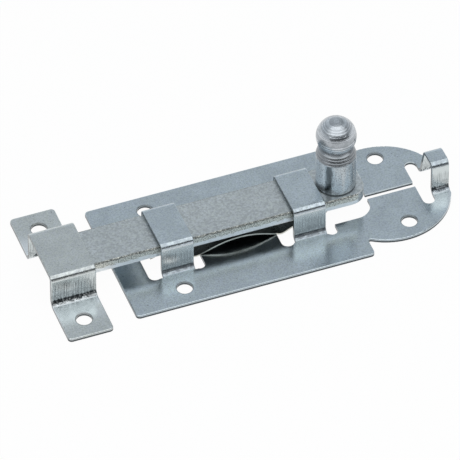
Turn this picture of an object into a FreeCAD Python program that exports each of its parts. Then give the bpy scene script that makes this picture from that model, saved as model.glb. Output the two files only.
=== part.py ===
import FreeCAD, Part
import math
import os
import Sketcher

# Flat slide bolt, locked. X runs along the bolt, from the end of the plate that faces the
# keep towards the padlock staple. Y runs across it and Z up. The origin is on the underside
# of the plate, on the centre line, at the edge that the bolt comes out of.

doc = FreeCAD.newDocument("flat_slide_bolt")
sheet = doc.addObject("Spreadsheet::Sheet", "sizes")

SIZES = {
    # pressed sheet, plate and keep
    "sheet_thick": 1.1,
    "edge_round": 0.35,
    "strap_edge_round": 0.25,
    "corner_round": 1.2,
    "bend_round": 0.7,
    "foot_bend_round": 1.5,
    "screw_bore": 4.6,
    "screw_rim_round": 0.25,
    # plate
    "body_length": 71.8,
    "body_width": 44.4,
    "head_offset": 11.15,
    "head_shift": -0.45,
    "head_round": 19.0,
    "head_flat": 1.05,
    "step_round": 0.6,
    "tail_screw_place": 16.5,
    "tail_screw_shift": 0.25,
    "tail_screw_pitch": 32.6,
    "head_screw_shift": 2.5,
    "head_screw_pitch": 26.9,
    # bridges over the bar
    "tail_bridge_place": 17.1,
    "bridge_pitch": 39.9,
    "bridge_wide": 9.7,
    "relief_left": 3.95,
    "relief_right": 3.25,
    "relief_overrun": 0.2,
    "head_relief_overrun": 0.75,
    # opening under the knob, and the slit behind it
    "knob_opening_length": 12.3,
    "knob_opening_wide": 14.9,
    "knob_opening_round": 5.0,
    "slit_wide": 1.9,
    "slit_shift": -0.25,
    # padlock staple
    "staple_wide": 5.3,
    "staple_front": 4.9,
    "staple_back": 4.9,
    "staple_lean": 2.9,
    "staple_tall": 11.7,
    "staple_droop": 0.3,
    "staple_bend_round": 1.0,
    "staple_relief_wide": 3.6,
    "staple_relief_front": 9.1,
    "staple_relief_back": 8.7,
    # bar
    "bar_wide": 13.8,
    "bar_thick": 3.8,
    "bar_lift": 6.3,
    "bar_reach": 18.5,
    "bar_end": 7.4,
    "bar_corner_round": 2.0,
    "bar_end_round": 4.8,
    "bar_edge_round": 0.45,
    "front_gap": 0.85,
    "back_gap": 0.15,
    "top_gap_front": 0.7,
    "top_gap_back": 0.1,
    # knob
    "knob_place": 68.1,
    "knob_shank": 11.5,
    "knob_shank_tall": 11.4,
    "knob_base_chamfer": 0.3,
    "knob_neck": 8.8,
    "knob_neck_tall": 3.1,
    "knob_ball": 11.6,
    "knob_ball_rise": 18.5,
    "knob_collar_taper": 0.75,
    "knob_collar_tall": 2.7,
    "knob_groove_deep": 0.2,
    "tenon_bore": 6.0,
    "tenon_gap": 0.05,
    "tenon_countersink": 0.8,
    "tenon_proud": 0.25,
    # brake spring
    "spring_thick": 0.5,
    "spring_wide": 11.0,
    "spring_tip_inset": 1.8,
    "spring_dip_inset": 1.6,
    "spring_dip_depth": 0.55,
    "spring_dip_round": 2.5,
    "spring_arch_rise": 4.6,
    "spring_arch_round": 22.0,
    "spring_crest_inset": 5.6,
    "spring_crest_lift": 0.15,
    "spring_crest_round": 2.5,
    "spring_tip_drop": 1.45,
    # keep
    "bar_past_keep": 4.3,
    "keep_shift": 0.6,
    "keep_foot_shift": 0.75,
    "keep_top_gap": 0.25,
    "keep_wide": 13.5,
    "keep_span": 50.8,
    "keep_side_gap": 2.0,
    "keep_screw_pitch": 38.0,
}

KNOB_RINGS = 3

for row, (name, value) in enumerate(SIZES.items(), start=1):
    sheet.set(f"A{row}", name)
    sheet.set(f"B{row}", str(value))
    sheet.setAlias(f"B{row}", name)
doc.recompute()


class Size:
    """A length that holds its number and the expression that ties it to the sheet."""

    def __init__(self, value, text):
        self.value = value
        self.text = text

    def join(self, other, sign, number):
        right = other.text if isinstance(other, Size) else str(other)
        return Size(number, f"({self.text} {sign} {right})")

    def __add__(self, other):
        return self.join(other, "+", self.value + value_of(other))

    def __sub__(self, other):
        return self.join(other, "-", self.value - value_of(other))

    def __mul__(self, other):
        return self.join(other, "*", self.value * value_of(other))

    def __truediv__(self, other):
        return self.join(other, "/", self.value / value_of(other))

    def __neg__(self):
        return Size(-self.value, f"(-1 * {self.text})")


def value_of(number):
    return number.value if isinstance(number, Size) else number


def size(name):
    return Size(float(sheet.get(name)), f"sizes.{name}")


# Sketches. A corner is x, y and, where the corner is rounded, its radius.

def new_sketch(body, name, role, offset=None):
    sketch = body.newObject("Sketcher::SketchObject", name)
    plane = next(item for item in body.Origin.OriginFeatures if item.Role == role)
    sketch.AttachmentSupport = [(plane, "")]
    sketch.MapMode = "FlatFace"
    if offset is not None:
        sketch.AttachmentOffset = FreeCAD.Placement(
            FreeCAD.Vector(0, 0, offset.value), FreeCAD.Rotation())
        sketch.setExpression("AttachmentOffset.Base.z", offset.text)
    return sketch


def bind(sketch, kind, *where, length):
    index = sketch.addConstraint(Sketcher.Constraint(kind, *where, value_of(length)))
    if isinstance(length, Size):
        sketch.setExpression(f"Constraints[{index}]", length.text)


def pin(sketch, geometry, point, x, y):
    """Holds one point of a sketch at x and y from the sketch's origin."""
    for kind, axis, place in (("DistanceX", -2, x), ("DistanceY", -1, y)):
        if isinstance(place, Size):
            bind(sketch, kind, -1, 1, geometry, point, length=place)
        else:
            sketch.addConstraint(Sketcher.Constraint("PointOnObject", geometry, point, axis))


def vector(x, y):
    return FreeCAD.Vector(value_of(x), value_of(y), 0)


def add_profile(sketch, corners, closed=True):
    """Draws straight runs between the corners, with an arc at each rounded corner."""
    count = len(corners)
    places = [vector(x, y) for x, y, *_ in corners]
    marks = []
    for (x, y, *_), place in zip(corners, places):
        mark = sketch.addGeometry(Part.Point(place), True)
        pin(sketch, mark, 1, x, y)
        marks.append(mark)
    ends = []
    arcs = {}
    for index, (_, _, *rounding) in enumerate(corners):
        here = places[index]
        if not rounding:
            ends.append((here, here))
            continue
        back = (places[index - 1] - here).normalize()
        ahead = (places[(index + 1) % count] - here).normalize()
        turn = back.getAngle(ahead)
        radius = value_of(rounding[0])
        reach = radius / math.tan(turn / 2)
        middle = here + (back + ahead).normalize() * (radius / math.sin(turn / 2))
        first = here + back * reach
        last = here + ahead * reach
        midway = middle + (here - middle).normalize() * radius
        turns_left = back.cross(ahead).z < 0
        start, stop = (first, last) if turns_left else (last, first)
        arc = sketch.addGeometry(Part.Arc(start, midway, stop), False)
        arcs[index] = (arc, 1, 2) if turns_left else (arc, 2, 1)
        ends.append((first, last))
    runs = count if closed else count - 1
    lines = []
    for index in range(runs):
        after = (index + 1) % count
        line = Part.LineSegment(ends[index][1], ends[after][0])
        lines.append(sketch.addGeometry(line, False))
        for corner, point in ((index, 1), (after, 2)):
            if corner in arcs:
                sketch.addConstraint(
                    Sketcher.Constraint("PointOnObject", marks[corner], 1, lines[-1]))
            else:
                sketch.addConstraint(
                    Sketcher.Constraint("Coincident", lines[-1], point, marks[corner], 1))
    for corner, (arc, entry, leave) in arcs.items():
        sketch.addConstraint(Sketcher.Constraint("Tangent", lines[corner - 1], 2, arc, entry))
        sketch.addConstraint(Sketcher.Constraint("Tangent", arc, leave, lines[corner], 1))
        bind(sketch, "Radius", arc, length=corners[corner][2])


def add_slot(sketch, x, low, high, wide):
    """Draws a slot along the sketch's Y, with round ends that reach low and high."""
    radius = wide / 2
    up = FreeCAD.Vector(0, 0, 1)
    ends = []
    for y, start in ((high - radius, 0), (low + radius, math.pi)):
        circle = Part.Circle(vector(x, y), up, radius.value)
        arc = sketch.addGeometry(Part.ArcOfCircle(circle, start, start + math.pi), False)
        pin(sketch, arc, 3, x, y)
        ends.append(arc)
    top, bottom = ends
    for first, second in ((top, bottom), (bottom, top)):
        line = sketch.addGeometry(
            Part.LineSegment(sketch.Geometry[first].EndPoint, sketch.Geometry[second].StartPoint), False)
        sketch.addConstraint(Sketcher.Constraint("Tangent", first, 2, line, 1))
        sketch.addConstraint(Sketcher.Constraint("Tangent", line, 2, second, 1))
        bind(sketch, "Radius", first, length=radius)


def add_circle(sketch, x, y, bore):
    circle = Part.Circle(vector(x, y), FreeCAD.Vector(0, 0, 1), bore.value / 2)
    index = sketch.addGeometry(circle, False)
    pin(sketch, index, 3, x, y)
    bind(sketch, "Radius", index, length=bore / 2)


def add_clipped_disc(sketch, middle, shift, radius, limit):
    """Draws a disc, shift to one side of the centre line, whose far side is cut straight at limit."""
    angle = math.acos((limit.value - middle.value) / radius.value)
    circle = Part.Circle(vector(middle, shift), FreeCAD.Vector(0, 0, 1), radius.value)
    arc = sketch.addGeometry(Part.ArcOfCircle(circle, angle, 2 * math.pi - angle), False)
    ends = sketch.Geometry[arc]
    chord = sketch.addGeometry(Part.LineSegment(ends.EndPoint, ends.StartPoint), False)
    pin(sketch, arc, 3, middle, shift)
    bind(sketch, "Radius", arc, length=radius)
    sketch.addConstraint(Sketcher.Constraint("Coincident", arc, 2, chord, 1))
    sketch.addConstraint(Sketcher.Constraint("Coincident", chord, 2, arc, 1))
    sketch.addConstraint(Sketcher.Constraint("Vertical", chord))
    bind(sketch, "DistanceX", -1, 1, chord, 1, length=limit)


def box_corners(left, right, front, back, rounding=None):
    corners = [(left, front), (right, front), (right, back), (left, back)]
    return [corner if rounding is None else (*corner, rounding) for corner in corners]


# Features

def new_body(label):
    body = doc.addObject("PartDesign::Body", label)
    body.Label = label
    return body


def pad(body, sketch, length):
    feature = body.newObject("PartDesign::Pad", f"{sketch.Name}_pad")
    feature.Profile = sketch
    feature.Length = length.value
    feature.setExpression("Length", length.text)
    doc.recompute()
    return feature


def cut_through(body, sketch):
    before = body.Shape.Volume
    feature = body.newObject("PartDesign::Pocket", f"{sketch.Name}_cut")
    feature.Profile = sketch
    feature.Type = "ThroughAll"
    feature.Midplane = True
    doc.recompute()
    if body.Shape.Volume > before - 0.01:
        raise RuntimeError(f"{sketch.Name} cuts nothing")
    return feature


def pipe(body, section, path):
    feature = body.newObject("PartDesign::AdditivePipe", f"{path.Name}_strip")
    feature.Profile = section
    feature.Spine = path
    doc.recompute()
    return feature


def soften(body, chosen, radius, kind="Fillet"):
    """Rounds or bevels the edges of the body's last feature that the test chooses."""
    base = body.Tip
    names = [f"Edge{number}" for number, edge in enumerate(base.Shape.Edges, start=1) if chosen(edge)]
    feature = body.newObject(f"PartDesign::{kind}", f"{base.Name}_{kind.lower()}")
    feature.Base = (base, names)
    field = "Radius" if kind == "Fillet" else "Size"
    setattr(feature, field, radius.value)
    feature.setExpression(field, radius.text)
    doc.recompute()
    return feature


def upright(edge):
    return edge.BoundBox.XLength < 1e-4 and edge.BoundBox.YLength < 1e-4


def level(edge, height):
    box = edge.BoundBox
    return abs(box.ZMin - height.value) < 1e-4 and abs(box.ZMax - height.value) < 1e-4


def rim(edge, height, bore):
    """True for a hole's whole rim at a height."""
    round_edge = isinstance(edge.Curve, Part.Circle)
    return round_edge and level(edge, height) and abs(edge.Curve.Radius - bore.value / 2) < 1e-4


# Sizes that several pieces share

thick = size("sheet_thick")
head_middle = size("body_length") + size("head_offset")
plate_length = head_middle + size("head_round") - size("head_flat")
relief_middle = plate_length - size("staple_wide") - size("staple_relief_wide") / 2
bar_top = size("bar_lift") + size("bar_thick")
strap_front = size("bar_wide") / 2 + size("front_gap")
strap_back = size("bar_wide") / 2 + size("back_gap")
strap_top = bar_top + size("top_gap_front") + thick
foot_start = size("foot_bend_round") + thick
tail_bridge = size("tail_bridge_place")
head_bridge = tail_bridge + size("bridge_pitch")
bridge_half = size("bridge_wide") / 2


def bent_path(body, name, place, front, back, top, droop, bend, foot_front, foot_back, lean=0):
    """The middle line of a strip that rises from the plate, crosses over and comes down.

    Its top falls by droop towards the back, and its back leg leans in by lean.
    """
    middle = thick / 2
    foot_bend = size("foot_bend_round")
    sketch = new_sketch(body, name, "YZ_Plane", offset=place)
    rise = top - middle
    add_profile(sketch, [
        (-foot_front, middle),
        (-(front - middle), middle, foot_bend + middle),
        (-(front - middle), rise, bend + middle),
        (back - middle - lean, rise - droop, bend + middle),
        (back - middle, middle, foot_bend + middle),
        (foot_back, middle),
    ], closed=False)
    return sketch


def bent_strip(body, path, name, left, right, start, rounding):
    """Sweeps the sheet's section, with its edges rounded, along a bent path."""
    section = new_sketch(body, name, "XZ_Plane", offset=start)
    add_profile(section, box_corners(left, right, 0, thick, rounding))
    return pipe(body, section, path)


# Base plate: one sheet with two bridges lanced out of it and a staple drawn up at its end

def plate_outline(body):
    half = size("body_width") / 2
    blank = new_sketch(body, "blank", "XY_Plane")
    add_profile(blank, box_corners(0, size("body_length"), -half, half, size("corner_round")))
    pad(body, blank, thick)
    head = new_sketch(body, "head", "XY_Plane")
    add_clipped_disc(head, head_middle, size("head_shift"), size("head_round"), plate_length)
    pad(body, head, thick)
    step = size("body_length").value
    corner = half.value - size("corner_round").value
    soften(body, lambda edge: upright(edge) and abs(edge.BoundBox.XMin - step) < 1e-4
           and abs(edge.BoundBox.YMin) < corner - 1e-4, size("step_round"))
    soften(body, lambda edge: level(edge, thick), size("edge_round"))


def screw_holes(body):
    holes = new_sketch(body, "screw_holes", "XY_Plane")
    pairs = (
        (size("tail_screw_place"), size("tail_screw_shift"), size("tail_screw_pitch")),
        (head_middle + size("head_screw_shift"), 0, size("head_screw_pitch")),
    )
    for place, aside, pitch in pairs:
        for side in (-1, 1):
            add_circle(holes, place, pitch / 2 * side + aside, size("screw_bore"))
    cut_through(body, holes)
    bore = size("screw_bore")
    soften(body, lambda edge: rim(edge, thick, bore), size("screw_rim_round"))


def bridge_window(body, name, place, overrun):
    """The opening under a bridge, with a relief slot beside it that runs on past its legs by overrun."""
    front = strap_front + foot_start
    back = strap_back + foot_start
    left = place - bridge_half - size("relief_left") / 2
    right = place + bridge_half + size("relief_right") / 2
    window = new_sketch(body, f"{name}_window", "XY_Plane")
    add_profile(window, box_corners(left, right, -front, back))
    cut_through(body, window)
    for middle, wide, label in ((left, size("relief_left"), "left"), (right, size("relief_right"), "right")):
        slot = new_sketch(body, f"{name}_{label}_relief", "XY_Plane")
        add_slot(slot, middle, -(front + overrun), back + overrun, wide)
        cut_through(body, slot)


def bridge(body, name, place):
    foot_front = strap_front + foot_start + thick
    foot_back = strap_back + foot_start + thick
    droop = size("top_gap_front") - size("top_gap_back")
    path = bent_path(body, f"{name}_path", place, strap_front + thick, strap_back + thick, strap_top,
                     droop, size("bend_round"), foot_front, foot_back)
    bent_strip(body, path, f"{name}_section", place - bridge_half, place + bridge_half, foot_front,
               size("strap_edge_round"))


def knob_opening(body):
    """The opening below the knob, and the slit that runs from it to the staple's window."""
    left = head_bridge + bridge_half + size("relief_right")
    right = left + size("knob_opening_length")
    half = size("knob_opening_wide") / 2
    round_corner = size("knob_opening_round")
    inside = left - size("relief_right") / 2
    opening = new_sketch(body, "knob_opening", "XY_Plane")
    add_profile(opening, [
        (inside, -half), (right, -half, round_corner), (right, half, round_corner), (inside, half),
    ])
    cut_through(body, opening)
    slit_half = size("slit_wide") / 2
    shift = size("slit_shift")
    slit = new_sketch(body, "slit", "XY_Plane")
    add_profile(slit, box_corners(right - slit_half, relief_middle, shift - slit_half, shift + slit_half))
    cut_through(body, slit)


def staple(body):
    left = plate_length - size("staple_wide")
    relief_half = size("staple_relief_wide") / 2
    front = size("staple_relief_front")
    back = size("staple_relief_back")
    relief = new_sketch(body, "staple_relief", "XY_Plane")
    add_slot(relief, relief_middle, -front, back, size("staple_relief_wide"))
    cut_through(body, relief)
    foot_front = front - relief_half
    foot_back = back - relief_half
    under = new_sketch(body, "staple_window", "XY_Plane")
    add_profile(under, box_corners(relief_middle, plate_length + thick, -foot_front, foot_back))
    cut_through(body, under)
    path = bent_path(body, "staple_path", left + size("staple_wide") / 2, size("staple_front"),
                     size("staple_back"), size("staple_tall"), size("staple_droop"),
                     size("staple_bend_round"), foot_front + thick, foot_back + thick, size("staple_lean"))
    bent_strip(body, path, "staple_section", left, plate_length, foot_front + thick,
               size("strap_edge_round"))


def trim_head(body):
    """Cuts the feet of the staple to the round of the head."""
    ring = new_sketch(body, "head_ring", "XZ_Plane")
    aside = -size("head_shift")
    ring.AttachmentOffset = FreeCAD.Placement(
        FreeCAD.Vector(head_middle.value, 0, aside.value), FreeCAD.Rotation())
    ring.setExpression("AttachmentOffset.Base.x", head_middle.text)
    ring.setExpression("AttachmentOffset.Base.z", aside.text)
    reach = size("head_round")
    add_profile(ring, box_corners(reach, reach + thick * 4, -thick, size("staple_tall") + thick))
    groove = body.newObject("PartDesign::Groove", "head_trim")
    groove.Profile = ring
    groove.ReferenceAxis = (ring, ["V_Axis"])
    groove.Angle = 90
    groove.Midplane = True
    doc.recompute()


def make_base_plate():
    body = new_body("base_plate")
    plate_outline(body)
    screw_holes(body)
    bridge_window(body, "tail_bridge", tail_bridge, size("relief_overrun"))
    bridge_window(body, "head_bridge", head_bridge, size("head_relief_overrun"))
    knob_opening(body)
    for name, place in (("tail_bridge", tail_bridge), ("head_bridge", head_bridge)):
        bridge(body, name, place)
    staple(body)
    trim_head(body)
    return body


# Keep: the strap that takes the end of the bar, with its back foot a little longer

def make_keep():
    body = new_body("keep")
    place = -(size("bar_reach") - size("bar_past_keep")) - size("keep_wide") / 2
    body.Placement.Base = FreeCAD.Vector(place.value, size("keep_shift").value, 0)
    body.setExpression("Placement.Base.x", place.text)
    body.setExpression("Placement.Base.y", "sizes.keep_shift")
    inner = size("bar_wide") / 2 + size("keep_side_gap")
    outer = inner + thick
    top = bar_top + size("keep_top_gap") + thick
    aside = size("keep_foot_shift")
    front = aside - size("keep_span") / 2
    back = aside + size("keep_span") / 2
    bend = size("bend_round")
    foot = size("foot_bend_round")
    section = new_sketch(body, "keep_section", "YZ_Plane")
    add_profile(section, [
        (front, 0), (-inner, 0, foot + thick), (-inner, top - thick, bend),
        (inner, top - thick, bend), (inner, 0, foot + thick), (back, 0),
        (back, thick), (outer, thick, foot), (outer, top, bend + thick),
        (-outer, top, bend + thick), (-outer, thick, foot), (front, thick),
    ])
    pad(body, section, size("keep_wide"))
    corner = size("corner_round")
    ends = (front.value, back.value)
    soften(body, lambda edge: upright(edge) and min(abs(edge.BoundBox.YMin - end) for end in ends) < 1e-4,
           corner)
    strip = body.Tip.Shape
    soften(body, lambda edge: outer_edge(strip, edge, (front + corner, back - corner)), size("edge_round"))
    holes = new_sketch(body, "keep_holes", "XY_Plane")
    for side in (-1, 1):
        place = aside + size("keep_screw_pitch") / 2 * side
        add_circle(holes, size("keep_wide") / 2, place, size("screw_bore"))
    cut_through(body, holes)
    bore = size("screw_bore")
    soften(body, lambda edge: rim(edge, thick, bore), size("screw_rim_round"))
    return body


def outer_edge(strip, edge, round_starts):
    """True for an edge round the strip's upper skin: the sheet is below it and inwards of it."""
    middle = edge.valueAt((edge.FirstParameter + edge.LastParameter) / 2)
    along_side = edge.BoundBox.XLength < 1e-4
    front, back = round_starts
    beyond = middle.y < front.value - 1e-4 or middle.y > back.value + 1e-4
    round_end = level(edge, thick) and beyond
    if upright(edge) or not (along_side or round_end):
        return False
    inwards = FreeCAD.Vector(size("keep_wide").value / 2 - middle.x, -middle.y, 0).normalize()
    probe = middle + (inwards + FreeCAD.Vector(0, 0, -1)) * (thick.value / 10)
    return strip.isInside(probe, 1e-5, False)


# Bolt: a flat bar with a rounded end, and the knob riveted through it

def make_bolt_bar():
    body = new_body("bolt_bar")
    half = size("bar_wide") / 2
    corner = size("bar_corner_round")
    end_corner = size("bar_end_round")
    left = -size("bar_reach")
    place = size("knob_place")
    right = place + size("bar_end")
    lift = size("bar_lift")
    flat = new_sketch(body, "bar_flat", "XY_Plane", offset=lift)
    add_profile(flat, [
        (left, -half, corner), (right, -half, end_corner), (right, half, end_corner), (left, half, corner),
    ])
    pad(body, flat, size("bar_thick"))
    soften(body, lambda edge: level(edge, bar_top) or level(edge, lift), size("bar_edge_round"))
    bore = new_sketch(body, "tenon_bore", "XY_Plane", offset=lift)
    add_circle(bore, place, 0, size("tenon_bore"))
    cut_through(body, bore)
    soften(body, lambda edge: rim(edge, lift, size("tenon_bore")), size("tenon_countersink"), "Chamfer")
    return body


def ring_grooves(foot, top, count):
    """The corners of small V grooves down a tapered collar, from its foot up."""
    deep = size("knob_groove_deep")
    pitch = (top[1] - foot[1]) / count
    taper = (foot[0] - top[0]) / count
    corners = []
    for step in range(count):
        radius = foot[0] - taper * step
        height = foot[1] + pitch * step
        corners.append((radius, height))
        corners.append((radius - deep, height + deep))
        corners.append((radius, height + deep * 2))
    return corners


def make_knob():
    body = new_body("knob")
    body.Placement.Base = FreeCAD.Vector(size("knob_place").value, 0, bar_top.value)
    body.setExpression("Placement.Base.x", "sizes.knob_place")
    body.setExpression("Placement.Base.z", bar_top.text)
    shank = size("knob_shank") / 2
    chamfer = size("knob_base_chamfer")
    tall = size("knob_shank_tall")
    neck = size("knob_neck") / 2
    tenon = size("tenon_bore") / 2 - size("tenon_gap")
    sink = size("tenon_countersink")
    under = -size("bar_thick")
    tail = under - size("tenon_proud")
    collar_top = (shank - size("knob_collar_taper"), tall + size("knob_collar_tall"))
    turned = new_sketch(body, "turned_profile", "XZ_Plane")
    add_profile(turned, [
        (0, tail), (tenon + sink - size("tenon_proud"), tail), (tenon + sink, under),
        (tenon, under + sink), (tenon, 0), (shank - chamfer, 0), (shank, chamfer),
        *ring_grooves((shank, tall), collar_top, KNOB_RINGS),
        collar_top, (neck, tall + size("knob_neck_tall")),
        (neck, size("knob_ball_rise")), (0, size("knob_ball_rise")),
    ])
    spin = body.newObject("PartDesign::Revolution", "turned")
    spin.Profile = turned
    spin.ReferenceAxis = (turned, ["V_Axis"])
    spin.Angle = 360
    doc.recompute()
    ball = body.newObject("PartDesign::AdditiveSphere", "ball")
    ball.Radius = size("knob_ball").value / 2
    ball.setExpression("Radius", "sizes.knob_ball / 2")
    ball.AttachmentOffset = FreeCAD.Placement(
        FreeCAD.Vector(0, 0, size("knob_ball_rise").value), FreeCAD.Rotation())
    plane = next(item for item in body.Origin.OriginFeatures if item.Role == "XY_Plane")
    ball.AttachmentSupport = [(plane, "")]
    ball.MapMode = "FlatFace"
    ball.setExpression("AttachmentOffset.Base.z", "sizes.knob_ball_rise")
    doc.recompute()
    return body


# Brake spring: a thin leaf under the bar that hooks over the plate between the two windows

def make_leaf_spring():
    body = new_body("leaf_spring")
    middle = size("spring_thick") / 2
    left_edge = tail_bridge + bridge_half + size("relief_right")
    right_edge = head_bridge - bridge_half - size("relief_left")
    centre = (tail_bridge + head_bridge) / 2
    left_window = tail_bridge - bridge_half - size("relief_left")
    right_window = head_bridge + bridge_half + size("relief_right")
    inset = size("spring_tip_inset")
    crest_inset = size("spring_crest_inset")
    crest = size("bar_lift") - middle + size("spring_crest_lift")
    crest_round = size("spring_crest_round")
    tip = crest - size("spring_tip_drop")
    dip = thick - size("spring_dip_depth") + middle
    dip_round = size("spring_dip_round")
    path = new_sketch(body, "spring_path", "XZ_Plane")
    add_profile(path, [
        (left_window + inset, tip),
        (left_window + crest_inset, crest, crest_round),
        (left_edge - size("spring_dip_inset"), dip, dip_round),
        (centre, dip + size("spring_arch_rise"), size("spring_arch_round")),
        (right_edge + size("spring_dip_inset"), dip, dip_round),
        (right_window - crest_inset, crest, crest_round),
        (right_window - inset, tip),
    ], closed=False)
    half = size("spring_wide") / 2
    section = new_sketch(body, "spring_section", "YZ_Plane", offset=left_window + inset)
    add_profile(section, box_corners(-half, half, tip - middle, tip + middle))
    pipe(body, section, path)
    return body


def check(body):
    for item in [body, *body.Group]:
        if "Invalid" in item.State or "Error" in item.State:
            raise RuntimeError(f"{body.Label}: {item.Label} did not build")
    if body.Shape.isNull() or not body.Shape.isValid():
        raise RuntimeError(f"{body.Label} is not a valid solid")
    if len(body.Shape.Solids) != 1:
        raise RuntimeError(f"{body.Label} is in {len(body.Shape.Solids)} pieces")


pieces = [make_base_plate(), make_keep(), make_bolt_bar(), make_knob(), make_leaf_spring()]
doc.recompute()
for piece in pieces:
    check(piece)
os.makedirs("parts", exist_ok=True)
for piece in pieces:
    piece.Shape.exportStep(f"parts/{piece.Label}.step")
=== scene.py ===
import math

import bpy
from bpy.props import FloatProperty, FloatVectorProperty, PointerProperty
from mathutils import Matrix, Vector


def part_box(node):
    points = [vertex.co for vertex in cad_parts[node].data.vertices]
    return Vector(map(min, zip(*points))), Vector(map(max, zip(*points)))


bl_info = {
    "name": "Flat slide bolt",
    "version": (1, 0, 0),
    "blender": (4, 5, 0),
    "location": "View3D > Sidebar > Slide bolt",
    "description": "Zinc finishes for a flat slide bolt, its keep and its stage",
    "category": "Object",
}

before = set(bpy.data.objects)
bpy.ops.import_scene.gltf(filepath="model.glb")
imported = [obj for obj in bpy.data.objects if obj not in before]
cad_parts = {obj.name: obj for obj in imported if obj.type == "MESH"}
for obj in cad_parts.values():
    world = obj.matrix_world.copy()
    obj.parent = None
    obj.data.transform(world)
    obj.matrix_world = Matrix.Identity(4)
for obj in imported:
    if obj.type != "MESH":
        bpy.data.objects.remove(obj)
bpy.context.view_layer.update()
MM = 0.001

# Radians that a wave texture runs through in each unit of length, at a scale of 1
WAVE_RATE = 20

# Heights on the pressed sheets. A pair whose name ends in START or END is a soft change.
FLAT_END = (1.25 * MM, 1.5 * MM)
LEG = (2.0 * MM, 10.2 * MM)
LEG_ABOVE_BEND = (2.4 * MM, 10.2 * MM)
LEG_FADE = 0.3 * MM
FOOT_BEND = (1.2 * MM, 2.7 * MM)
TOP_BEND_START = (8.5 * MM, 9.5 * MM)
RIM_SHADE_END = (0.5 * MM, 0.8 * MM)
LINES_START = (2.0 * MM, 2.5 * MM)
LINES_END = (8.2 * MM, 10.2 * MM)
SMUDGE = (2.2 * MM, 5.0 * MM)
COMB_FOOT = (1.2 * MM, 2.5 * MM)
COMB_TOP = (3.1 * MM, 2.2 * MM)

# Places on the pressed sheets
LEG_LEAN = math.tan(math.radians(5.5))
STAPLE_START = (88 * MM, 90 * MM)
# The staple's foot, and how far the painted highlight round it and on the keep's feet reaches
STAPLE_FOOT = (97 * MM, -8 * MM)
STAPLE_SHEEN_END = (2 * MM, 6 * MM)
KEEP_SHEEN_START = (13.5 * MM, 21.0 * MM)
# Where shade is painted on the plate under the bar: along it, and its edges across it
UNDER_BAR = (24 * MM, 70 * MM)
UNDER_BAR_END = (5.5 * MM, 7.5 * MM)
HOLE_RADIUS = 2.3 * MM
HOLE_SHADE_END = (HOLE_RADIUS + 0.05 * MM, HOLE_RADIUS + 0.4 * MM)
PLATE_HOLES = (
    (16.5 * MM, 16.55 * MM), (16.5 * MM, -16.05 * MM),
    (85.45 * MM, 13.45 * MM), (85.45 * MM, -13.45 * MM),
)
KEEP_HOLES = ((-14.2 * MM, 20.35 * MM), (-14.2 * MM, -17.65 * MM))

# The bar's sides, as depths from its widest point, and its top edge, as depths from its top
BAR_SIDE_START = (0.45 * MM, 0.3 * MM)
BAR_BURR_START = (0.8 * MM, 0.4 * MM)

# The knob: heights from its lowest point, and depths below its top
BASE_SHADE_END = (4.3 * MM, 4.7 * MM)
SHANK_RISE = 15.45 * MM
COLLAR_TALL = 2.7 * MM
BALL_SHADE_END = (7 * MM, 4 * MM)
BALL_UNDER_END = (8 * MM, 6 * MM)
RING_PITCH = 0.42 * MM

# The level direction across the knob, and places along it from the knob's axis
ASIDE = (0.94, -0.35)
# Where the painted dark reflection runs down the shank, and where the painted highlight beside it ends
SHANK_RUN = (-2.9 * MM, -1.3 * MM)
SHANK_LEFT_END = (-3.4 * MM, -2.9 * MM)

# The stage
FLOOR_SIZE = 12
FLOOR_PLACE = (0.05, 0, -0.05 * MM)
SOFTBOX_PLACE = (-0.01, -0.34, 0.83)
SOFTBOX_TARGET = (0.04, 0, 0)
SOFTBOX_SIZE = (2.1, 1.04)
# How bright the room is at each angle, from the front horizon at 0 to the back one at 180
SKY = (
    (0, 0.08), (26, 0.08), (36, 0.4), (46, 0.3), (92, 0.3),
    (104, 0.63), (135, 0.6), (155, 0.7), (170, 0.95), (180, 0.95),
)
COOL = (0.94, 1.0, 1.05)
# The parts along X and Z of a direction, where the sides and the sky start
SIDE_START = (0.75, 0.97)
HORIZON = (0.05, 0.1)
SIDE_COLOUR = (0.6, 0.62, 0.64)
GROUND_COLOUR = (0.96, 0.96, 0.96)
PLATE_MIDDLE = Vector((50 * MM, 0, 0))
SENSOR = 36
CLIP = (0.05, 20)
AIM_LEFT = 13.02 * MM
AIM_DOWN = 2.03 * MM


def colour_property(name, description, default):
    return FloatVectorProperty(
        name=name, description=description, default=default, subtype="COLOR", size=3, min=0, max=1)


class BoltFinishSettings(bpy.types.PropertyGroup):
    """Colours and grain of the zinc on each piece."""

    plate: colour_property("Plate", "Zinc on the base plate", (0.555, 0.625, 0.685))
    keep: colour_property("Keep", "Zinc on the keep", (0.635, 0.675, 0.69))
    bar: colour_property("Bar", "Zinc on the bolt bar", (0.635, 0.68, 0.705))
    ball: colour_property("Ball", "Zinc on the knob's ball and collar", (0.58, 0.62, 0.66))
    # The shank's darker zinc is painted shade on the upright shank
    shank: colour_property("Shank", "Duller zinc on the knob's shank", (0.47, 0.52, 0.55))
    spring: colour_property("Spring", "Spring steel of the brake leaf", (0.56, 0.57, 0.52))
    drawn: colour_property("Drawn", "Zinc burnished by the press on the bent legs", (0.66, 0.71, 0.71))
    # Painted sheen: lighter zinc for painted highlights on the feet next to the legs and down the
    # shank's left side, and on the bar's smooth band
    painted_sheen: colour_property("Rubbed", "Zinc rubbed bright at the feet", (0.85, 0.90, 0.93))
    # Also the colour of painted shade: under the bar, on the cut edges, round the screw holes and on
    # the knob's shank
    stain_and_shade: colour_property("Stain", "Dark marks left by the press tools", (0.05, 0.06, 0.065))
    shear: colour_property("Shear face", "Broken steel along the bar's cut sides", (0.72, 0.74, 0.68))
    grain: FloatProperty(
        name="Grain", description="Size of the zinc's fine grain", default=0.5 * MM, unit="LENGTH")


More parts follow.
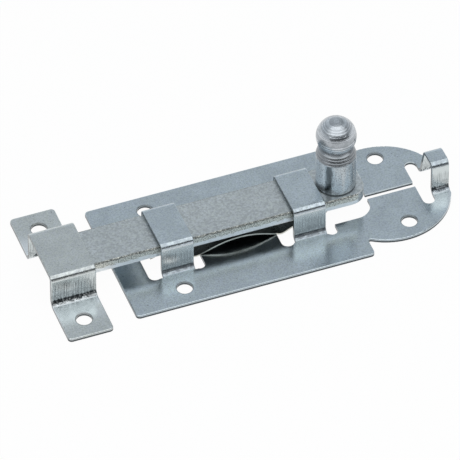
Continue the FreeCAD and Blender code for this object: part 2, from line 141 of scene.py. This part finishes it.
class BoltStageSettings(bpy.types.PropertyGroup):
    """Floor, lamp and camera."""

    floor_colour: colour_property("Floor", "Colour of the plain floor", (0.86, 0.86, 0.86))
    floor_glow: FloatProperty(
        name="Floor white", description="How far the floor shows as plain white", default=0.96,
        subtype="FACTOR", min=0, max=1)
    softbox_power: FloatProperty(
        name="Softbox", description="Power of the wide lamp overhead and in front", default=7.3,
        unit="POWER")
    azimuth: FloatProperty(
        name="Camera azimuth", description="Turn of the camera's line of sight from +Y towards +X",
        default=math.radians(20.48), subtype="ANGLE")
    elevation: FloatProperty(
        name="Camera elevation", description="Height of the camera over the floor as an angle",
        default=math.radians(45.26), subtype="ANGLE")
    distance: FloatProperty(
        name="Camera distance", description="From the camera to the middle of the plate",
        default=2.255, unit="LENGTH")
    lens: FloatProperty(name="Lens", description="Focal length", default=621.0, unit="CAMERA")


# Nodes

class Graph:
    """A node tree, and the short calls that add nodes to it."""

    def __init__(self, tree):
        self.tree = tree

    def add(self, kind, **settings):
        node = self.tree.nodes.new(kind)
        for key, value in settings.items():
            setattr(node, key, value)
        return node

    def feed(self, socket, value):
        if isinstance(value, bpy.types.NodeSocket):
            self.tree.links.new(value, socket)
        else:
            socket.default_value = value

    def maths(self, operation, *values):
        node = self.add("ShaderNodeMath", operation=operation)
        for socket, value in zip(node.inputs, values):
            self.feed(socket, value)
        return node.outputs[0]

    def span(self, value, low, high, to_low=0.0, to_high=1.0, kind="SMOOTHSTEP"):
        """Maps low to high onto to_low to to_high, within those ends."""
        node = self.add("ShaderNodeMapRange", interpolation_type=kind)
        for socket, number in zip(node.inputs, (value, low, high, to_low, to_high)):
            self.feed(socket, number)
        return node.outputs["Result"]

    def blend(self, amount, first, second):
        node = self.add("ShaderNodeMix", data_type="RGBA")
        self.feed(node.inputs[0], amount)
        for socket, colour in ((node.inputs[6], first), (node.inputs[7], second)):
            self.feed(socket, colour if isinstance(colour, bpy.types.NodeSocket) else (*colour, 1))
        return node.outputs[2]

    def parts(self, vector):
        node = self.add("ShaderNodeSeparateXYZ")
        self.feed(node.inputs[0], vector)
        return node.outputs[0], node.outputs[1], node.outputs[2]


class Finish(Graph):
    """A metal material."""

    def __init__(self, name):
        self.material = bpy.data.materials.new(name)
        self.material.use_nodes = True
        super().__init__(self.material.node_tree)
        self.shader = self.tree.nodes["Principled BSDF"]
        self.shader.inputs["Metallic"].default_value = 1.0
        self.place = self.add("ShaderNodeTexCoord").outputs["Object"]

    def axes(self):
        return self.parts(self.place)

    def normals(self):
        """The three parts of the surface's own normal."""
        return self.parts(self.add("ShaderNodeNewGeometry").outputs["Normal"])

    def stretched(self, stretch, shift=(0, 0, 0)):
        """The place on the object, drawn out along each axis by stretch."""
        mapping = self.add("ShaderNodeMapping")
        self.feed(mapping.inputs["Vector"], self.place)
        mapping.inputs["Location"].default_value = shift
        mapping.inputs["Scale"].default_value = [1 / value for value in stretch]
        return mapping.outputs["Vector"]

    def noise(self, size, stretch=(1, 1, 1), detail=3.0, shift=(0, 0, 0)):
        """Noise from 0 to 1, with features of about that size in metres."""
        node = self.add("ShaderNodeTexNoise")
        self.feed(node.inputs["Vector"], self.stretched(stretch, shift))
        node.inputs["Scale"].default_value = 1 / size
        node.inputs["Detail"].default_value = detail
        return node.outputs["Fac"]

    def ribs(self, pitch, stretch):
        """Uneven ridges across X, from 0 to 1, about that pitch apart."""
        node = self.add("ShaderNodeTexWave", wave_type="BANDS", bands_direction="X")
        self.feed(node.inputs["Vector"], self.stretched(stretch))
        node.inputs["Scale"].default_value = math.tau / WAVE_RATE / pitch
        node.inputs["Distortion"].default_value = 3.0
        node.inputs["Detail"].default_value = 2.0
        return node.outputs["Fac"]

    def within(self, value, low, high, soft):
        """1 where value lies between low and high, fading over soft at both ends."""
        rise = self.span(value, low - soft, low + soft)
        fall = self.span(value, high - soft, high + soft, 1.0, 0.0)
        return self.maths("MULTIPLY", rise, fall)

    def chain(self, operation, first, *others):
        for value in others:
            first = self.maths(operation, first, value)
        return first

    def product(self, *values):
        return self.chain("MULTIPLY", *values)

    def most(self, *values):
        return self.chain("MAXIMUM", *values)

    def distance(self, along, across, x, y):
        """How far along and across are from the upright axis at x and y."""
        squares = [self.maths("POWER", self.maths("SUBTRACT", value, middle), 2.0)
                   for value, middle in ((along, x), (across, y))]
        return self.maths("SQRT", self.maths("ADD", *squares))

    def bump(self, height, depth, under=None):
        node = self.add("ShaderNodeBump")
        node.inputs["Strength"].default_value = 1.0
        node.inputs["Distance"].default_value = depth
        self.feed(node.inputs["Height"], height)
        if under is not None:
            self.feed(node.inputs["Normal"], under)
        return node.outputs["Normal"]

    def close(self, colour, roughness, normal):
        self.feed(self.shader.inputs["Base Color"], colour)
        self.feed(self.shader.inputs["Roughness"], roughness)
        self.feed(self.shader.inputs["Normal"], normal)


def below(top, depths):
    """Heights at those depths below top."""
    return [top - depth for depth in depths]


def dress(node_name, finish):
    """Gives a CAD node the finish in each of its material slots."""
    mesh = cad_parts[node_name].data
    mesh.materials.clear()
    mesh.materials.append(finish.material)


def scaled(colour, factor):
    return tuple(min(1.0, value * factor) for value in colour)


def zinc_skin(finish, colour, grain_size, mottle):
    """Zinc with soft clouds, a faint change of tint and a fine grain.

    Gives its colour, the grain and the clouds.
    """
    cloud = finish.noise(7 * MM, detail=2.0)
    tint = finish.noise(0.9 * MM, detail=2.0, shift=(2, 9, 4))
    grain = finish.noise(grain_size, detail=4.0)
    zinc = finish.blend(finish.span(cloud, 0.35, 0.65), scaled(colour, 0.95), scaled(colour, 1.05))
    red, green, blue = colour
    warmer = (red * 1.02, green * 1.03, blue * 0.93)
    zinc = finish.blend(finish.span(tint, 0.4, 0.62, 0.0, 0.45), zinc, warmer)
    zinc = finish.blend(finish.span(grain, 0.42, 0.62, 0.0, mottle), zinc, scaled(colour, 0.5))
    return zinc, grain, cloud


def draw_marks(finish, height, tear):
    """How dark the marks of the press are on a leg, and its fine upright ridges.

    The marks are fine lines, a smudge at their foot and a comb of teeth above the bend.
    """
    fine = finish.noise(0.2 * MM, stretch=(1, 1, 40), detail=1.0)
    ribs = finish.ribs(0.45 * MM, (1, 1, 40))
    ridges = finish.maths("ADD", finish.product(fine, 0.6), finish.product(ribs, 0.4))
    broad = finish.noise(0.9 * MM, stretch=(1, 1, 20), detail=1.0)
    uneven = finish.maths("ADD", height, finish.product(broad, 3 * MM))
    lines = finish.product(
        finish.span(height, *LINES_START), finish.span(uneven, *LINES_END, 1.0, 0.0),
        finish.span(ridges, 0.42, 0.66, 0.0, 0.45 + tear * 0.3))
    patch = finish.noise(0.6 * MM, detail=2.0, shift=(5, 9, 1))
    smudge = finish.product(
        finish.within(height, *SMUDGE, 0.8 * MM), finish.span(patch, 0.4, 0.6, 0.15, 0.5))
    teeth = finish.noise(0.45 * MM, stretch=(1, 1, 30), detail=1.0, shift=(1, 2, 3))
    foot = finish.maths("SUBTRACT", height, finish.span(teeth, 0.35, 0.65, *COMB_FOOT))
    top = finish.maths("SUBTRACT", height, finish.span(teeth, 0.35, 0.65, *COMB_TOP))
    along, _, _ = finish.axes()
    comb = finish.product(
        finish.span(foot, -0.05 * MM, 0.12 * MM),
        finish.span(top, -0.25 * MM, 0.25 * MM, 1.0, 0.0),
        finish.span(along, *STAPLE_START, tear, 0.9))
    return finish.most(lines, smudge, comb), ridges


def edge_shade(finish, height):
    """How dark the painted shade is on the sheet's edges: the straps' sheared side that faces -X, and
    the lower rim all round.
    """
    sideways, _, upwards = finish.normals()
    strap = finish.span(finish.product(sideways, -1.0), 0.75, 0.95, 0.0, 0.75)
    rim = finish.product(
        finish.span(finish.maths("ABSOLUTE", upwards), 0.3, 0.5, 1.0, 0.0),
        finish.span(height, *RIM_SHADE_END, 0.95, 0.05))
    return finish.most(strap, rim)


def bend_dulling(finish, height):
    """How far the zinc is crazed and dull where the sheet turns over a top bend or into a foot."""
    _, _, upwards = finish.normals()
    craze = finish.noise(1.1 * MM, detail=1.5, shift=(8, 8, 2))
    over = finish.product(
        finish.within(upwards, 0.25, 0.93, 0.05), finish.span(height, *TOP_BEND_START),
        finish.span(craze, 0.35, 0.65, 0.0, 0.45))
    into = finish.product(
        finish.within(upwards, 0.1, 0.985, 0.01), finish.within(height, *FOOT_BEND, 0.1 * MM),
        finish.span(craze, 0.35, 0.6, 0.45, 1.0))
    return finish.most(over, into)


def hole_shade(finish, holes):
    """Painted shade: a dark ring round each screw hole."""
    along, across, _ = finish.axes()
    away = [finish.distance(along, across, x, y) for x, y in holes]
    nearest = away[0]
    for other in away[1:]:
        nearest = finish.maths("MINIMUM", nearest, other)
    return finish.span(nearest, *HOLE_SHADE_END, 0.6, 0.0)


def under_bar_shade(finish, along, across):
    """How dark the painted shade is on the plate between the bridges, under the bar."""
    middle = finish.span(finish.maths("ABSOLUTE", across), *UNDER_BAR_END, 0.8, 0.0)
    return finish.product(middle, finish.within(along, *UNDER_BAR, 2 * MM))


def leaning(finish, height, across, normal):
    """The normal of a leg as if it leaned in a little towards its top."""
    _, outwards, _ = finish.normals()
    facing = finish.maths("MULTIPLY", outwards, finish.maths("SIGN", across))
    lean = finish.product(
        finish.span(facing, 0.8, 0.95, 0.0, LEG_LEAN), finish.within(height, *LEG_ABOVE_BEND, LEG_FADE))
    up = finish.add("ShaderNodeCombineXYZ")
    finish.feed(up.inputs[2], lean)
    tilted = finish.add("ShaderNodeVectorMath", operation="ADD")
    finish.feed(tilted.inputs[0], normal)
    finish.feed(tilted.inputs[1], up.outputs[0])
    unit = finish.add("ShaderNodeVectorMath", operation="NORMALIZE")
    finish.feed(unit.inputs[0], tilted.outputs[0])
    return unit.outputs[0]


def pressed_sheet(name, colour, sizes, tear, holes):
    """Zinc plated sheet, thinned and marked by the press on its bent legs."""
    finish = Finish(name)
    along, across, height = finish.axes()
    stain_and_shade, painted_sheen = tuple(sizes.stain_and_shade), tuple(sizes.painted_sheen)
    zinc, grain, cloud = zinc_skin(finish, colour, sizes.grain, 0.3)
    flat = finish.span(height, *FLAT_END, 1.0, 0.0)
    if holes is PLATE_HOLES:
        # Painted shade on the flat plate under the bar
        zinc = finish.blend(finish.product(flat, under_bar_shade(finish, along, across)), zinc, stain_and_shade)
        staple = finish.distance(along, across, *STAPLE_FOOT)
        foot = finish.span(staple, *STAPLE_SHEEN_END, 0.8, 0.0)
    else:
        foot = finish.span(finish.maths("ABSOLUTE", across), *KEEP_SHEEN_START, 0.9, 0.0)
    # Painted highlight on the feet next to the legs, where they reflect them
    zinc = finish.blend(finish.product(flat, foot), zinc, painted_sheen)
    spot = finish.noise(0.55 * MM, detail=1.0, shift=(6, 1, 8))
    zinc = finish.blend(finish.span(spot, 0.7, 0.78, 0.0, 0.5), zinc, stain_and_shade)
    leg = finish.within(height, *LEG, LEG_FADE)
    zinc = finish.blend(finish.product(leg, 0.85), zinc, tuple(sizes.drawn))
    dulling = bend_dulling(finish, height)
    zinc = finish.blend(dulling, zinc, scaled(colour, 0.42))
    marks, ridges = draw_marks(finish, height, tear)
    # Draw marks, with painted shade on the edges and round the screw holes
    dark = finish.most(marks, edge_shade(finish, height), hole_shade(finish, holes))
    zinc = finish.blend(dark, zinc, stain_and_shade)
    roughness = finish.maths(
        "ADD", finish.span(cloud, 0.3, 0.7, 0.17, 0.24), finish.product(dulling, 0.15))
    normal = finish.bump(grain, 0.014 * MM)
    normal = finish.bump(finish.product(ridges, leg), 0.04 * MM, normal)
    finish.close(zinc, roughness, leaning(finish, height, across, normal))
    return finish


class BOLT_OT_finish_plate(bpy.types.Operator):
    """Gives the base plate its bluish zinc, with draw marks on the bridges and the staple"""

    bl_idname = "slide_bolt.finish_plate"
    bl_label = "Finish the plate"

    def execute(self, context):
        sizes = context.scene.bolt_finish
        dress("base_plate", pressed_sheet("plate_zinc", sizes.plate, sizes, 0.25, PLATE_HOLES))
        return {"FINISHED"}


class BOLT_OT_finish_keep(bpy.types.Operator):
    """Gives the keep its neutral zinc, with strong draw marks on the legs"""

    bl_idname = "slide_bolt.finish_keep"
    bl_label = "Finish the keep"

    def execute(self, context):
        sizes = context.scene.bolt_finish
        dress("keep", pressed_sheet("keep_zinc", sizes.keep, sizes, 0.95, KEEP_HOLES))
        return {"FINISHED"}


class BOLT_OT_finish_bar(bpy.types.Operator):
    """Gives the bar its mottled zinc, with a torn line along its sheared sides"""

    bl_idname = "slide_bolt.finish_bar"
    bl_label = "Finish the bar"

    def execute(self, context):
        sizes = context.scene.bolt_finish
        stain_and_shade = tuple(sizes.stain_and_shade)
        finish = Finish("bar_zinc")
        _, across, height = finish.axes()
        low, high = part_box("bolt_bar")
        zinc, grain, _ = zinc_skin(finish, sizes.bar, 0.7 * MM, 0.5)
        fleck = finish.noise(0.3 * MM, stretch=(1.6, 1, 1), detail=2.0, shift=(7, 2, 2))
        zinc = finish.blend(finish.span(fleck, 0.4, 0.6, 0.0, 0.42), zinc, scaled(sizes.bar, 0.6))
        side = finish.span(finish.maths("ABSOLUTE", across), *below(high.y, BAR_SIDE_START))
        ragged = finish.noise(0.7 * MM, stretch=(2.5, 1, 1), detail=3.0)
        line = finish.maths("ADD", height, finish.product(
            finish.maths("SUBTRACT", ragged, 0.5), 2.0 * MM))
        middle = (low.z + high.z) / 2
        tear = (middle - 0.5 * MM, middle + 0.1 * MM)
        broken = finish.product(side, finish.span(line, *tear))
        zinc = finish.blend(finish.product(broken, 0.85), zinc, tuple(sizes.shear))
        speck = finish.noise(0.35 * MM, detail=3.0, shift=(3, 5, 7))
        pits = finish.product(broken, finish.span(speck, 0.46, 0.58, 0.0, 0.7))
        zinc = finish.blend(pits, zinc, stain_and_shade)
        # The smooth band below the tear is real burnished steel; its lighter colour is also a painted
        # sheen
        smooth = finish.product(side, finish.span(line, *tear, 0.7, 0.0))
        zinc = finish.blend(smooth, zinc, tuple(sizes.painted_sheen))
        burr = finish.product(
            side, finish.span(line, *below(high.z, BAR_BURR_START)),
            finish.span(speck, 0.34, 0.5, 0.1, 0.65))
        zinc = finish.blend(burr, zinc, stain_and_shade)
        roughness = finish.span(grain, 0.35, 0.65, 0.34, 0.46)
        finish.close(zinc, roughness, finish.bump(grain, 0.03 * MM))
        dress("bolt_bar", finish)
        return {"FINISHED"}


def aside_of(finish, axis):
    """How far a point lies to the right of the knob's axis, seen from the front left."""
    along, across, _ = finish.axes()
    right, back = ASIDE
    return finish.maths(
        "ADD", finish.product(finish.maths("SUBTRACT", along, axis.x), right),
        finish.product(across, back))


def shank_shade(finish, aside, foot, top):
    """Painted shade on the shank: a dark run down its front left, a painted reflection, and a dark line
    where the shank meets the bar, a painted contact shadow.
    """
    _, across, height = finish.axes()
    wander = finish.noise(1.2 * MM, stretch=(1, 1, 3), detail=3.0, shift=(4, 4, 1))
    place = finish.maths("ADD", aside, finish.product(
        finish.maths("SUBTRACT", wander, 0.5), 1.8 * MM))
    run = finish.product(
        finish.within(place, *SHANK_RUN, 0.3 * MM),
        finish.span(across, 0.0, 0.5 * MM, 0.78, 0.0),
        finish.span(height, top - 0.4 * MM, top, 1.0, 0.0))
    base_shade = finish.span(finish.maths("SUBTRACT", height, foot), *BASE_SHADE_END, 0.85, 0.0)
    return finish.most(run, base_shade)


class BOLT_OT_finish_knob(bpy.types.Operator):
    """Gives the knob its turned zinc, with tool rings round its axis"""

    bl_idname = "slide_bolt.finish_knob"
    bl_label = "Finish the knob"

    def execute(self, context):
        sizes = context.scene.bolt_finish
        finish = Finish("knob_zinc")
        along, across, height = finish.axes()
        low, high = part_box("knob")
        axis = (low + high) / 2
        turned = finish.add("ShaderNodeCombineXYZ")
        finish.feed(turned.inputs[0], finish.distance(along, across, axis.x, axis.y))
        finish.feed(turned.inputs[2], height)
        rings = finish.add("ShaderNodeTexNoise")
        finish.feed(rings.inputs["Vector"], turned.outputs[0])
        rings.inputs["Scale"].default_value = 1 / RING_PITCH
        rings.inputs["Detail"].default_value = 2.0
        shank_top = low.z + SHANK_RISE
        head = finish.span(height, shank_top - 0.2 * MM, shank_top + 0.2 * MM)
        ring = finish.product(rings.outputs["Fac"], head)
        zinc = finish.blend(head, tuple(sizes.shank), tuple(sizes.ball))
        # Painted shade: the ball's tool rings are drawn darker on its lower half
        lower_half_shade = finish.span(height, *below(high.z, BALL_SHADE_END), 1.0, 0.4)
        dull = finish.product(finish.span(ring, 0.46, 0.56), head, lower_half_shade)
        zinc = finish.blend(dull, zinc, scaled(sizes.ball, 0.3))
        # Painted shade under the ball and on the collar below it
        under = finish.product(head, finish.span(height, *below(high.z, BALL_UNDER_END), 0.55, 0.0))
        zinc = finish.blend(under, zinc, scaled(sizes.ball, 0.4))
        collar = finish.within(height, shank_top, shank_top + COLLAR_TALL, 0.2 * MM)
        zinc = finish.blend(finish.product(collar, 0.6), zinc, scaled(sizes.ball, 0.38))
        cloud = finish.noise(2.2 * MM, detail=3.0)
        zinc = finish.blend(finish.span(cloud, 0.5, 0.66, 0.0, 0.35), zinc, scaled(sizes.shank, 0.5))
        aside = aside_of(finish, axis)
        # Painted highlight: a light streak down the shank's left side, with rougher zinc there
        left = finish.product(
            finish.span(aside, *SHANK_LEFT_END, 0.9, 0.0), finish.maths("SUBTRACT", 1.0, head))
        zinc = finish.blend(left, zinc, tuple(sizes.painted_sheen))
        # Painted reflection and contact shadow on the shank, in the dark colour
        stain_and_shade = shank_shade(finish, aside, low.z, shank_top)
        zinc = finish.blend(stain_and_shade, zinc, tuple(sizes.stain_and_shade))
        grain = finish.noise(0.35 * MM, detail=4.0)
        pitted = finish.product(
            finish.span(grain, 0.5, 0.62), finish.maths("SUBTRACT", 0.6, finish.product(head, 0.4)))
        zinc = finish.blend(pitted, zinc, scaled(sizes.shank, 0.35))
        roughness = finish.maths(
            "ADD", finish.span(cloud, 0.3, 0.7, 0.14, 0.26), finish.product(left, 0.2))
        normal = finish.bump(ring, 0.09 * MM)
        normal = finish.bump(grain, 0.03 * MM, normal)
        finish.close(zinc, roughness, normal)
        dress("knob", finish)
        return {"FINISHED"}


class BOLT_OT_finish_spring(bpy.types.Operator):
    """Gives the brake leaf its plain spring steel, drawn along its length"""

    bl_idname = "slide_bolt.finish_spring"
    bl_label = "Finish the brake spring"

    def execute(self, context):
        sizes = context.scene.bolt_finish
        colour = sizes.spring
        finish = Finish("spring_steel")
        drawn = finish.noise(0.25 * MM, stretch=(20, 1, 1), detail=2.0)
        cloud = finish.noise(5 * MM, detail=2.0)
        steel = finish.blend(finish.span(drawn, 0.35, 0.65), scaled(colour, 0.85), scaled(colour, 1.2))
        steel = finish.blend(finish.span(cloud, 0.4, 0.7, 0.0, 0.3), steel, scaled(colour, 0.6))
        _, _, upwards = finish.normals()
        flat = finish.span(finish.maths("ABSOLUTE", upwards), 0.4, 0.7, 0.0, 0.8)
        steel = finish.blend(flat, steel, tuple(sizes.stain_and_shade))
        finish.close(steel, finish.span(cloud, 0.3, 0.7, 0.25, 0.4), finish.bump(drawn, 0.01 * MM))
        dress("leaf_spring", finish)
        return {"FINISHED"}


# Stage

def lamp(name, place, target, size, power):
    data = bpy.data.lights.new(name, "AREA")
    data.shape = "RECTANGLE"
    data.size, data.size_y = size
    data.energy = power
    shown = bpy.data.objects.new(name, data)
    bpy.context.scene.collection.objects.link(shown)
    shown.location = place
    shown.rotation_mode = "QUATERNION"
    shown.rotation_quaternion = (Vector(target) - Vector(place)).to_track_quat("-Z", "Y")


def make_floor(sizes):
    """A plain floor that cameras, metal and glass see as white, with the object's shadow on it."""
    bpy.ops.object.select_all(action="DESELECT")
    bpy.ops.mesh.primitive_plane_add(size=FLOOR_SIZE, location=FLOOR_PLACE)
    floor = bpy.context.object
    floor.name = "floor"
    bpy.ops.object.transform_apply(location=True, rotation=True, scale=True)
    material = bpy.data.materials.new("plain_floor")
    material.use_nodes = True
    nodes = material.node_tree.nodes
    shader = nodes["Principled BSDF"]
    shader.inputs["Base Color"].default_value = (*sizes.floor_colour, 1)
    shader.inputs["Roughness"].default_value = 0.9
    shader.inputs["Specular IOR Level"].default_value = 0.0
    graph = Graph(material.node_tree)
    rays = graph.add("ShaderNodeLightPath").outputs
    seen = graph.maths("MAXIMUM", rays["Is Camera Ray"], rays["Is Glossy Ray"])
    seen = graph.maths("MAXIMUM", seen, rays["Is Transmission Ray"])
    mix = graph.add("ShaderNodeMixShader")
    graph.feed(mix.inputs[0], graph.maths("MULTIPLY", seen, sizes.floor_glow))
    graph.feed(mix.inputs[1], shader.outputs[0])
    graph.feed(mix.inputs[2], graph.add("ShaderNodeEmission").outputs[0])
    graph.feed(nodes["Material Output"].inputs["Surface"], mix.outputs[0])
    floor.data.materials.append(material)


def make_world():
    """Light by the height of a direction, from the front horizon over the top to the back one."""
    world = bpy.data.worlds.new("studio")
    bpy.context.scene.world = world
    world.use_nodes = True
    graph = Graph(world.node_tree)
    across, back, height = graph.parts(graph.add("ShaderNodeTexCoord").outputs["Generated"])
    angle = graph.maths("ARCTAN2", height, graph.maths("MULTIPLY", back, -1.0))
    ramp = graph.add("ShaderNodeValToRGB")
    graph.feed(ramp.inputs[0], graph.maths("DIVIDE", angle, math.pi))
    stops = ramp.color_ramp.elements
    stops.remove(stops[1])
    for index, (degrees, light) in enumerate(SKY):
        stop = stops[0] if index == 0 else stops.new(degrees / 180)
        stop.position = degrees / 180
        stop.color = (*scaled(COOL, light), 1)
    aside = graph.span(graph.maths("ABSOLUTE", across), *SIDE_START)
    room = graph.blend(aside, ramp.outputs[0], SIDE_COLOUR)
    above = graph.span(height, *HORIZON, kind="LINEAR")
    background = world.node_tree.nodes["Background"]
    graph.feed(background.inputs["Color"], graph.blend(above, GROUND_COLOUR, room))
    background.inputs["Strength"].default_value = 1.0


def make_camera(sizes):
    turn, rise = sizes.azimuth, sizes.elevation
    level = math.cos(rise)
    sight = Vector((math.sin(turn) * level, math.cos(turn) * level, -math.sin(rise)))
    right = Vector((math.cos(turn), -math.sin(turn), 0))
    up = right.cross(sight)
    aim = PLATE_MIDDLE - right * AIM_LEFT - up * AIM_DOWN
    data = bpy.data.cameras.new("camera")
    data.lens = sizes.lens
    data.sensor_width = SENSOR
    data.clip_start, data.clip_end = CLIP
    shown = bpy.data.objects.new("camera", data)
    bpy.context.scene.collection.objects.link(shown)
    turned = Matrix((right, up, -sight)).transposed().to_4x4()
    shown.matrix_world = Matrix.Translation(aim - sight * sizes.distance) @ turned
    bpy.context.scene.camera = shown


class BOLT_OT_build_stage(bpy.types.Operator):
    """Makes the floor, the world, the lamp and the camera"""

    bl_idname = "slide_bolt.build_stage"
    bl_label = "Build the stage"

    def execute(self, context):
        sizes = context.scene.bolt_stage
        make_floor(sizes)
        make_world()
        lamp("softbox", SOFTBOX_PLACE, SOFTBOX_TARGET, SOFTBOX_SIZE, sizes.softbox_power)
        make_camera(sizes)
        context.scene.view_settings.view_transform = "Standard"
        return {"FINISHED"}


class BOLT_PT_panel(bpy.types.Panel):
    """Lists the steps and the sizes in the sidebar"""

    bl_label = "Slide bolt"
    bl_idname = "BOLT_PT_panel"
    bl_space_type = "VIEW_3D"
    bl_region_type = "UI"
    bl_category = "Slide bolt"

    def draw(self, context):
        for step in STEPS:
            self.layout.operator(step.bl_idname)
        for group in (context.scene.bolt_finish, context.scene.bolt_stage):
            column = self.layout.column()
            for name in group.__annotations__:
                column.prop(group, name)


STEPS = (BOLT_OT_finish_plate, BOLT_OT_finish_keep, BOLT_OT_finish_bar, BOLT_OT_finish_knob,
         BOLT_OT_finish_spring, BOLT_OT_build_stage)
CLASSES = (BoltFinishSettings, BoltStageSettings, *STEPS, BOLT_PT_panel)


def register():
    for cls in CLASSES:
        bpy.utils.register_class(cls)
    bpy.types.Scene.bolt_finish = PointerProperty(type=BoltFinishSettings)
    bpy.types.Scene.bolt_stage = PointerProperty(type=BoltStageSettings)


def unregister():
    del bpy.types.Scene.bolt_finish
    del bpy.types.Scene.bolt_stage
    for cls in reversed(CLASSES):
        bpy.utils.unregister_class(cls)


def main():
    register()
    for step in STEPS:
        getattr(bpy.ops.slide_bolt, step.bl_idname.split(".")[1])()


if __name__ == "__main__":
    main()
